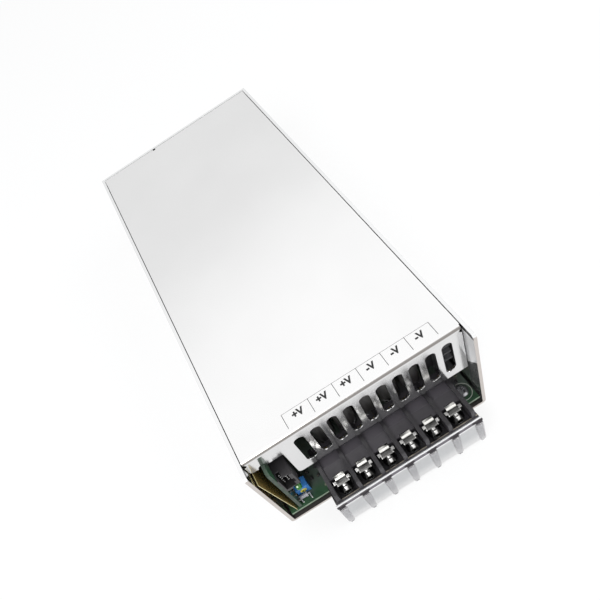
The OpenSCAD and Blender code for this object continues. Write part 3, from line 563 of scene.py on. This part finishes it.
FINISHES = {
    # The chassis' colours: sheet, cut edges (darkened for the painted shade on the base), and painted shade
    # in the gaps
    "bright_aluminium": chassis_sheet("bright_aluminium", (0.93, 0.93, 0.935), (0.62, 0.58, 0.55),
                                      (0.035, 0.035, 0.035)),
    # The cover's colours: sheet, the front panel's painted shade, and painted shade along the bent edge
    "cover_aluminium": cover_sheet("cover_aluminium", (0.985, 0.985, 0.985), 0.75, (0.38, 0.36, 0.345)),
    "zinc_screw": plated("zinc_screw", (0.66, 0.66, 0.68), 0.3),
    "black_anodised": moulded("black_anodised", (0.15, 0.15, 0.16), 0.35),
    "terminal_screw": screw_steel("terminal_screw", CLAMP_TONE),
    "output_clamp": clamp_steel("output_clamp", CLAMP_TONE, OUTPUT_BAY, OUTPUT_PITCH),
    "input_clamp": clamp_steel("input_clamp", CLAMP_TONE, INPUT_X, INPUT_PITCH),
    "nickel_brass": plated("nickel_brass", (0.78, 0.72, 0.56), 0.3),
    "tinned_copper": plated("tinned_copper", (0.95, 0.94, 0.90), 0.16, 0.1, (0.35, 0.9)),
    "bright_wire": plated("bright_wire", (0.78, 0.78, 0.79), 0.18, 0.6),
    "amber_film": film("amber_film", (0.23, 0.15, 0.04), (0.38, 0.26, 0.08), (0.62, 0.55, 0.26)),
    # Boards: painted shade away from the front and under the cover, then the solder mask, then the fibre
    "green_board": circuit_board("green_board", (0.10, 0.10, 0.102), (0.027, 0.072, 0.035),
                                 (0.20, 0.28, 0.19), 2),
    "upright_board": circuit_board("upright_board", (0.12, 0.13, 0.12), (0.02, 0.07, 0.034),
                                   (0.034, 0.062, 0.04), 0),
    "black_moulding": moulded("black_moulding", (0.030, 0.028, 0.032), 0.40),
    # The block's last colour is its painted highlight along the lip
    "block_moulding": block_moulding("block_moulding", (0.036, 0.033, 0.038), (0.42, 0.38, 0.30)),
    "socket_moulding": socket_moulding("socket_moulding", (0.020, 0.018, 0.020)),
    "bright_pins": pin_metal("bright_pins", (0.98, 0.96, 0.92)),
    "rotor_plastic": rotor_moulding("rotor_plastic", (0.74, 0.68, 0.11)),
    "output_flap": clear_moulding("output_flap", *FLAP_TONES, OUTPUT_BAY, OUTPUT_PITCH),
    "input_flap": clear_moulding("input_flap", *FLAP_TONES, INPUT_X, INPUT_PITCH),
    "rib_plastic": tinted("rib_plastic", (0.88, 0.875, 0.88), 0.3),
    "green_lens": coloured_lens("green_lens", (0.022, 0.14, 0.016)),
    "blue_plastic": moulded("blue_plastic", (0.05, 0.22, 0.58), 0.3, 0.01, 0.2),
    "yellow_plastic": moulded("yellow_plastic", (0.46, 0.40, 0.07), 0.36, 0.01, 0.1),
    "pale_ceramic": moulded("pale_ceramic", (0.34, 0.34, 0.37), 0.3, 0.01, 0.3),
    "pale_plastic": moulded("pale_plastic", (0.72, 0.70, 0.62), 0.45),
    "epoxy_package": moulded("epoxy_package", (0.05, 0.049, 0.05), 0.5, 0.02),
    "ferrite": moulded("ferrite", (0.15, 0.147, 0.145), 0.55, 0.03),
    "winding_tape": moulded("winding_tape", (0.62, 0.46, 0.05), 0.25, 0.02, 0.4),
    "copper_wire": wire_coil("copper_wire", (0.55, 0.22, 0.07)),
    "capacitor_sleeve": sleeve("capacitor_sleeve", (0.19, 0.183, 0.18)),
    "red_sleeve": moulded("red_sleeve", (0.45, 0.02, 0.015), 0.4),
    "print_black": moulded("print_black", (0.012, 0.012, 0.012), 0.55),
    "print_white": moulded("print_white", (0.55, 0.58, 0.52), 0.5),
}

# Every CAD node takes the finish of its material slot, apart from those that LOOKS names
SLOTS = {s["node"]: s["material_slot"] for s in frame["record"]["subparts"]}
LOOKS = {
    **SLOTS, "output_flap": "output_flap", "input_flap": "input_flap",
    "daughter_board": "upright_board", "signal_connector": "socket_moulding", "signal_pins": "bright_pins",
    "output_terminal_body": "block_moulding", "input_terminal_body": "block_moulding",
    "output_screws": "terminal_screw", "input_screws": "terminal_screw",
    "primary_heatsink": "black_anodised", "secondary_heatsink": "black_anodised",
    "output_clamps": "output_clamp", "input_clamps": "input_clamp", "trimmer_rotor": "rotor_plastic",
}
BODY_OF = {n: b for b, members in frame["record"]["behaviour"]["bodies"].items() for n in members}
for node_name, obj in frame["nodes"].items():
    obj.data.materials.clear()
    obj.data.materials.append(FINISHES[LOOKS[node_name]])


# Pieces

def new_piece(name, mesh, look, body="case", smooth=None):
    """Links a mesh as a piece that rides on a body, with one of the finishes."""
    obj = bpy.data.objects.new(name, mesh)
    bpy.context.scene.collection.objects.link(obj)
    if not mesh.materials:
        mesh.materials.append(FINISHES[look])
    if smooth is not None:
        for poly in mesh.polygons:
            poly.use_smooth = True
        mesh.set_sharp_from_angle(angle=math.radians(smooth))
    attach(obj, body)
    return obj


def evaluated(obj, modifiers):
    """Applies modifiers, given as (type, settings) pairs, and returns the plain mesh."""
    for kind, settings in modifiers:
        modifier = obj.modifiers.new(kind.lower(), kind)
        for key, value in settings.items():
            setattr(modifier, key, value)
    bpy.context.view_layer.update()
    mesh = bpy.data.meshes.new_from_object(obj.evaluated_get(bpy.context.evaluated_depsgraph_get()))
    obj.modifiers.clear()
    return mesh


def eased(node, width):
    """Replaces a CAD node with a copy of its mesh whose edges are eased by width millimetres."""
    source = frame["nodes"][node]
    bm = bmesh.new()
    bm.from_mesh(source.data)
    bmesh.ops.remove_doubles(bm, verts=bm.verts, dist=1e-6)
    bmesh.ops.dissolve_limit(bm, angle_limit=math.radians(0.5), verts=bm.verts, edges=bm.edges)
    for face in bm.faces:
        face.smooth = True
    mesh = bpy.data.meshes.new(node + "_eased")
    bm.to_mesh(mesh)
    bm.free()
    carrier = bpy.data.objects.new(node + "_carrier", mesh)
    bpy.context.scene.collection.objects.link(carrier)
    final = evaluated(carrier, [
        ("BEVEL", {"width": width * MM, "segments": 2, "limit_method": "ANGLE",
                   "angle_limit": math.radians(30), "use_clamp_overlap": True, "harden_normals": True}),
        ("WEIGHTED_NORMAL", {"weight": 80, "keep_sharp": True}),
        ("TRIANGULATE", {"keep_custom_normals": True}),
    ])
    bpy.data.objects.remove(carrier)
    final.materials.clear()
    piece = new_piece(node + "_finished", final, LOOKS[node], BODY_OF[node])
    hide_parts(node)


def turned(mesh, place, turns=()):
    """Moves a mesh to a place in millimetres, after turns given as (degrees, axis)."""
    move = Matrix.Translation(Vector(place) * MM)
    for degrees, axis in turns:
        move = move @ Matrix.Rotation(math.radians(degrees), 4, axis)
    mesh.transform(move)
    return mesh


def lettering(name, text, size, look, bold, lift):
    """Flat printed letters as a mesh, centred on the origin and lying in X and Y."""
    curve = bpy.data.curves.new(name, "FONT")
    curve.body = text
    curve.size = size * MM
    curve.align_x, curve.align_y = "CENTER", "CENTER"
    curve.offset = bold * MM
    curve.extrude = lift * MM / 2
    carrier = bpy.data.objects.new(name + "_curve", curve)
    bpy.context.scene.collection.objects.link(carrier)
    bpy.context.view_layer.update()
    mesh = bpy.data.meshes.new_from_object(carrier.evaluated_get(bpy.context.evaluated_depsgraph_get()))
    bpy.data.objects.remove(carrier)
    return painted(mesh, look)


def joined(name, meshes):
    """One mesh from several of one finish."""
    bm = bmesh.new()
    for mesh in meshes:
        bm.from_mesh(mesh)
    out = bpy.data.meshes.new(name)
    bm.to_mesh(out)
    bm.free()
    out.materials.append(meshes[0].materials[0])
    return out


# Edges that catch the light
for node_name, width in {
    "chassis": 0.18, "cover": 0.14, "output_terminal_body": 0.16, "input_terminal_body": 0.16,
    "output_tabs": 0.1, "output_clamps": 0.12, "input_tabs": 0.1, "input_clamps": 0.12,
    "output_screws": 0.1, "input_screws": 0.1, "output_flap": 0.12, "input_flap": 0.12,
    "signal_connector": 0.12, "trimmer_body": 0.15, "trimmer_rotor": 0.06, "fan_frame": 0.25,
    "main_board": 0.08, "daughter_board": 0.08, "fan_rotor": 0.1, "fan_screws": 0.12, "board_screws": 0.1,
    "cover_screws": 0.1,
}.items():
    eased(node_name, width)


# Repeated pieces

def bar_row(name, count, start, step, size, look):
    """A row of equal bars, from start by step."""
    g = Grower(name)
    bars = g.placed(g.line(g.input("Count", count), g.input("Start", start), g.input("Step", step)),
                    g.cube(g.input("Bar size", size)))
    return g.mesh(bars, look)


def rib_cores(name, bays, pitch, end_x, look):
    """The flap's broad ribs, which darken what is seen through them. The outer two stand at end_x."""
    g = Grower(name)
    bays_in, pitch_in = g.input("Bays", bays), g.input("Pitch", pitch)
    wide, narrow = g.input("Width at the hinge", 3.8), g.input("Width at the edge", 2.7)
    start, reach = g.input("Start", 1.9), g.input("Reach", 15.7)
    depth, face = g.input("Depth", 0.95), g.input("Face", -0.5)
    spread = g.input("End shift", end_x - bays * pitch / 2)
    x, y, z = g.node("GeometryNodeInputPosition").parts()
    near = z + 0.5
    rib = g.node("GeometryNodeSetPosition", None, {
        "Geometry": g.cube((1.0, 1.0, 1.0)),
        "Position": g.vector(x * (narrow + (wide - narrow) * near), face - depth * (y + 0.5),
                             (near - 1.0) * (reach - start) - start)})
    at = (g.index() - bays_in * 0.5) * pitch_in
    shifted = at + at.sign() * (abs(at) > (bays_in * 0.5 - 0.5) * pitch_in) * spread
    points = g.node("GeometryNodeSetPosition", None, {
        "Geometry": g.line(bays_in + 1.0, (0.0, 0.0, 0.0), (0.0, 0.0, 0.0)),
        "Position": g.vector(shifted, 0.0, 0.0)})
    return g.mesh(g.placed(points, rib), look)


def small_parts(name, area, counts, share, sizes, seed, look, caps=False):
    """Chip parts on a loose grid, some left out. With caps, only their tinned ends are made."""
    g = Grower(name)
    (width, depth), (across, along) = area, counts
    seed_in, share_in = g.input("Seed", seed), g.input("Share", share)
    low, high = g.input("Smallest", sizes[0]), g.input("Largest", sizes[1])
    grid = g.node("GeometryNodeMeshGrid", None, {
        "Size X": g.input("Width", width), "Size Y": g.input("Depth", depth),
        "Vertices X": g.input("Across", across), "Vertices Y": g.input("Along", along)})
    loose = g.node("GeometryNodeSetPosition", None, {
        "Geometry": grid, "Offset": g.random((-0.8, -0.8, 0.0), (0.8, 0.8, 0.0), seed_in)})
    turn = (g.random(0.0, 1.0, seed_in + 1.0) > 0.5) * (math.pi / 2)
    if caps:
        ends = g.placed(g.line(2, (-0.46, 0.0, 0.5), (0.92, 0.0, 0.0)), g.cube((0.16, 1.04, 1.04)))
        shape = g.node("GeometryNodeRealizeInstances", None, {0: ends})
    else:
        shape = g.moved(g.cube((0.9, 1.0, 1.0)), Translation=(0.0, 0.0, 0.5))
    parts = g.placed(loose, shape, Selection=g.random(0.0, 1.0, seed_in + 2.0) < share_in,
                     Rotation=g.vector(0.0, 0.0, turn), Scale=g.random(low, high, seed_in + 3.0))
    return g.mesh(parts, look)


def coil_turns(name, r_out, r_in, width, turns, wire_r, look):
    """Round wire wound through a ring core whose axis is Z."""
    g = Grower(name)
    outer, inner = g.input("Outer radius", r_out), g.input("Inner radius", r_in)
    height, wire = g.input("Height", width), g.input("Wire radius", wire_r)
    count = g.input("Turns", turns)
    loop = g.node("GeometryNodeCurvePrimitiveQuadrilateral", {"mode": "RECTANGLE"},
                  {"Width": outer - inner - wire * 2.0, "Height": height - wire * 2.0})
    loop = g.node("GeometryNodeFilletCurve", {"mode": "POLY"}, {"Curve": loop, "Count": 5, "Radius": 1.2})
    ring = g.node("GeometryNodeCurvePrimitiveCircle", {"mode": "RADIUS"}, {"Resolution": 8, "Radius": wire})
    wound = g.node("GeometryNodeCurveToMesh", None, {"Curve": loop, "Profile Curve": ring})
    stood = g.moved(wound, Translation=g.vector((outer + inner) * 0.5, 0.0, 0.0),
                    Rotation=(math.pi / 2, 0.0, 0.0))
    angle = math.radians(30) + g.index() * (math.radians(300) / (turns - 1))
    points = g.line(count, (0.0, 0.0, 0.0), (0.0, 0.0, 0.0))
    smooth = g.node("GeometryNodeSetShadeSmooth", None, {"Geometry": g.placed(
        points, stood, Rotation=g.vector(0.0, 0.0, angle))})
    return g.mesh(smooth, look)


def ring_core(name, r_out, r_in, width, look):
    """A plain ring of square section whose axis is Z."""
    g = Grower(name)
    outer, inner = g.input("Outer radius", r_out), g.input("Inner radius", r_in)
    section = g.node("GeometryNodeCurvePrimitiveQuadrilateral", {"mode": "RECTANGLE"},
                     {"Width": outer - inner, "Height": g.input("Height", width)})
    section = g.node("GeometryNodeFilletCurve", {"mode": "POLY"},
                     {"Curve": section, "Count": 4, "Radius": 0.7})
    path = g.node("GeometryNodeCurvePrimitiveCircle", {"mode": "RADIUS"},
                  {"Resolution": 64, "Radius": (outer + inner) * 0.5})
    body = g.node("GeometryNodeCurveToMesh", None, {"Curve": path, "Profile Curve": section})
    return g.mesh(g.node("GeometryNodeSetShadeSmooth", None, {"Geometry": body}), look)


def solder_dots(name, places, radius, look):
    """Low domes of solder at places on a face, as (x, y, z) in millimetres."""
    bm = bmesh.new()
    for place in places:
        made = bmesh.ops.create_icosphere(bm, subdivisions=2, radius=radius * MM)["verts"]
        for v in made:
            v.co = Vector((v.co.x, v.co.y, v.co.z * 0.45)) + Vector(place) * MM
    mesh = bpy.data.meshes.new(name)
    bm.to_mesh(mesh)
    bm.free()
    mesh.materials.append(FINISHES[look])
    return mesh


# Ribs of both flaps. The input flap is turned to the rear.
for name, x, turn, side, bays, pitch, end_x in (
        ("output", OUTPUT_X, 0, -1, OUTPUT_BAYS, OUTPUT_PITCH, 34.05),
        ("input", INPUT_X, 180, 1, INPUT_BAYS, INPUT_PITCH, 16.35)):
    cores = rib_cores(name + "_rib_cores", bays, pitch, end_x, "rib_plastic")
    turned(cores, (x, side * (REAR + HINGE_OUT), HINGE_Z), ((turn, "Z"), (LEAN, "X")))
    new_piece(name + "_rib_cores", cores, "clear_plastic", body=name + "_flap")


# Markings

def terminal_marks(name, pitch, signs, tall, size, place, turns=(), margin=0.0, shift=0.0):
    """A row of printed cells: a fine line along the far side, ticks between the cells, and their signs."""
    line, fine, lift = 0.24, 0.12, 0.02
    cells = len(signs)
    first = -cells * pitch / 2
    meshes = [
        bar_row(name + "_ticks", cells, (first + pitch, tall / 2, lift / 2), (pitch, 0.0, 0.0),
                (line, tall, lift), "print_black"),
        bar_row(name + "_end", 1, (first - margin, tall / 2, lift / 2), (0.0, 0.0, 0.0),
                (line, tall, lift), "print_black"),
        bar_row(name + "_back", 1, (-margin / 2, tall, lift / 2), (0.0, 0.0, 0.0),
                (cells * pitch + margin + line, fine, lift), "print_black"),
    ]
    for i, sign in enumerate(signs):
        middle = (first + (i + 0.5) * pitch + shift, tall / 2 + 0.4, lift / 2)
        if sign == "earth":
            bars = [((2.6, 0.32, lift), 0.0), ((1.7, 0.32, lift), -0.75), ((0.8, 0.32, lift), -1.5),
                    ((0.32, 1.6, lift), 0.9)]
            for bar, y in bars:
                made = bar_row("earth_bar", 1, (0.0, y, 0.0), (0.0, 0.0, 0.0), bar, "print_black")
                meshes.append(turned(made, middle))
        else:
            meshes.append(turned(lettering(f"{name}_{i}", sign, size, "print_black", 0.19, lift), middle))
    new_piece(name, turned(joined(name, meshes), place, turns), "print_black")


terminal_marks("output_marks", 11.32, ["+V"] * 3 + ["-V"] * 3, 6.7, 4.3, (7.8, FRONT + 8.8, CASE_H),
               margin=1.06, shift=-0.5)
terminal_marks("input_marks", INPUT_PITCH, ["L", "N", "earth"], 5.8, 3.6, (INPUT_X, REAR, 31.0),
               ((180, "Z"), (90, "X")))


# Parts on the boards

def board_details():
    """Chips and solder on the two boards, and a printed ring."""
    # Chips on the main board, each with its tinned ends
    for name, middle, area, counts, share, seed in (
            ("front_left", (-34.5, FRONT + 15.5, BOARD_Z), (9.0, 12.0), (3, 4), 0.7, 11),
            ("front_right", (43.5, FRONT + 13.0, BOARD_Z), (5.0, 3.0), (2, 2), 0.8, 12),
            ("middle_left", (-29.0, FRONT + 52.0, BOARD_Z), (12.0, 26.0), (4, 7), 0.6, 13),
            ("middle_right", (30.0, FRONT + 52.0, BOARD_Z), (12.0, 30.0), (4, 8), 0.6, 14)):
        for kind, look in (("body", "epoxy_package"), ("ends", "tinned_copper")):
            mesh = small_parts(f"chips_{name}_{kind}", area, counts, share,
                               ((1.4, 0.8, 0.4), (2.4, 1.2, 0.7)), seed, look, kind == "ends")
            new_piece(f"chips_{name}_{kind}", turned(mesh, middle), look)
    # Chips on the face of the upright board, below the connector and behind it
    for name, y, z, area, counts, seed in (("low", 6.0, 20.0, (14.0, 6.0), (4, 3), 21),
                                           ("rear", 22.0, 34.0, (30.0, 18.0), (8, 6), 22)):
        for kind, look in (("body", "epoxy_package"), ("ends", "tinned_copper")):
            mesh = small_parts(f"upright_{name}_{kind}", area, counts, 0.65,
                               ((1.2, 0.7, 0.35), (2.0, 1.1, 0.6)), seed, look, kind == "ends")
            new_piece(f"upright_{name}_{kind}", turned(mesh, (UPRIGHT_X, FRONT + y, z), ((90, "Y"),)), look)
    # Solder at the leads of the front parts
    dots = [(-38.0, FRONT + 2.3, BOARD_Z), (-42.6, FRONT + 2.3, BOARD_Z)]
    solder = solder_dots("front_solder", dots, 0.5, "tinned_copper")
    new_piece("front_solder", solder, "tinned_copper", smooth=60)
    # Printed ring round the board screw at the front right
    g = Grower("screw_ring")
    path = g.node("GeometryNodeCurvePrimitiveCircle", {"mode": "RADIUS"},
                  {"Resolution": 48, "Radius": g.input("Radius", 4.3)})
    section = g.node("GeometryNodeCurvePrimitiveQuadrilateral", {"mode": "RECTANGLE"},
                     {"Width": g.input("Line width", 0.3), "Height": 0.04})
    ring = g.mesh(g.node("GeometryNodeCurveToMesh", None, {"Curve": path, "Profile Curve": section}),
                  "print_white")
    turned(ring, (BOARD_SCREW_X, BOARD_SCREW_Y, BOARD_Z + 0.02))
    new_piece("screw_ring", ring, "print_white")


board_details()

# Chokes with round wire, as (node, x, y from the front, outer and inner radius, width, turns)
for node_name, x, y, r_out, r_in, wide, turns in (
        ("output_choke", 0, 41, 15, 7, 9, 14), ("boost_choke", 8, 112, 17, 8, 12, 16),
        ("filter_choke", -27.5, 156, 13, 6, 10, 12)):
    place = (x, FRONT + y, BOARD_Z + r_out)
    coil = coil_turns(node_name + "_turns", float(r_out - 0.2), float(r_in), float(wide + 2.4), turns, 0.68,
                      "copper_wire")
    piece = new_piece(node_name + "_turns", turned(coil, place, ((90, "X"),)), "copper_wire")
    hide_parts(node_name)
    core = ring_core(node_name + "_core", r_out - 1.7, r_in + 1.7, float(wide), "ferrite")
    new_piece(node_name + "_core", turned(core, place, ((90, "X"),)), "ferrite")


# Stage, light and camera

def plain_world():
    """White to the camera, softer on diffuse surfaces, and a little darker low down in reflections."""
    world = bpy.data.worlds.new("studio")
    bpy.context.scene.world = world
    world.use_nodes = True
    world.node_tree.nodes.clear()
    g = Graph(world.node_tree)
    white, under_cover_shade, soft = [g.node("ShaderNodeBackground", None, {"Color": colour, "Strength": strength})
                        for colour, strength in (((1.0, 1.0, 1.0), 1.0), ((1.0, 1.0, 1.0), 0.775),
                                                 ((0.97, 0.985, 1.0), 0.75))]
    _, glossy_ray, _, plain = g.plain_rays()
    x, _, z = g.node("ShaderNodeTexCoord", out="Generated").parts()
    low_down = (x * 0.15 + z).to(0.775, 0.685)
    sky = g.blend(plain, soft, g.blend(glossy_ray * low_down, white, under_cover_shade))
    g.tree.links.new(sky.socket, g.tree.nodes.new("ShaderNodeOutputWorld").inputs[0])


def floor():
    """A pale floor that keeps the object's shadow and is otherwise close to the background's white."""
    size, drop = 3.0, -0.0002
    mesh = bpy.data.meshes.new("floor")
    mesh.from_pydata([(-size, -size, drop), (size, -size, drop), (size, size, drop), (-size, size, drop)],
                     [], [(0, 1, 2, 3)])
    obj = bpy.data.objects.new("floor", mesh)
    bpy.context.scene.collection.objects.link(obj)
    f = Finish("pale_floor", Base_Color=(0.88, 0.88, 0.88), Roughness=0.9)
    glow = f.node("ShaderNodeEmission", None, {"Color": (1.0, 1.0, 1.0), "Strength": 1.0})
    f.ends_in(f.blend(f.plain_rays()[3] * 0.8, f.plain(), glow))
    mesh.materials.append(f.material)


def lamp(name, place, aim, size, power):
    """A soft round lamp in metres and watts."""
    light = bpy.data.lights.new(name, "AREA")
    light.shape, light.size, light.energy = "DISK", size, power
    obj = bpy.data.objects.new(name, light)
    bpy.context.scene.collection.objects.link(obj)
    obj.location = place
    obj.rotation_euler = (Vector(aim) - Vector(place)).to_track_quat("-Z", "Y").to_euler()


def camera():
    """The camera solved from the case's edges in the photograph."""
    data = bpy.data.cameras.new("camera")
    data.sensor_width = 36.0
    frame_px, focal_px, middle_x, middle_y = 600, 598.865, 231.269, 288.459
    data.lens = focal_px / frame_px * data.sensor_width
    data.shift_x = (frame_px / 2 - middle_x) / frame_px
    data.shift_y = (middle_y - frame_px / 2) / frame_px
    data.clip_start = 0.01
    obj = bpy.data.objects.new("camera", data)
    bpy.context.scene.collection.objects.link(obj)
    right = Vector((0.839502, -0.391386, -0.376899))
    down = Vector((-0.542243, -0.647845, -0.535042))
    ahead = Vector((-0.034764, 0.653539, -0.756094))
    obj.matrix_world = Matrix.Translation(Vector((-8.0717, -209.3504, 279.2443)) * MM) @ Matrix(
        (right, -down, -ahead)).transposed().to_4x4()
    bpy.context.scene.camera = obj


plain_world()
floor()
lamp("key", (-0.5, -0.7, 1.1), (0, 0, 0.03), 0.9, 9)
lamp("fill", (0.8, -0.3, 0.8), (0, 0, 0.03), 0.8, 4)
camera()
bpy.context.scene.view_settings.view_transform = "Standard"
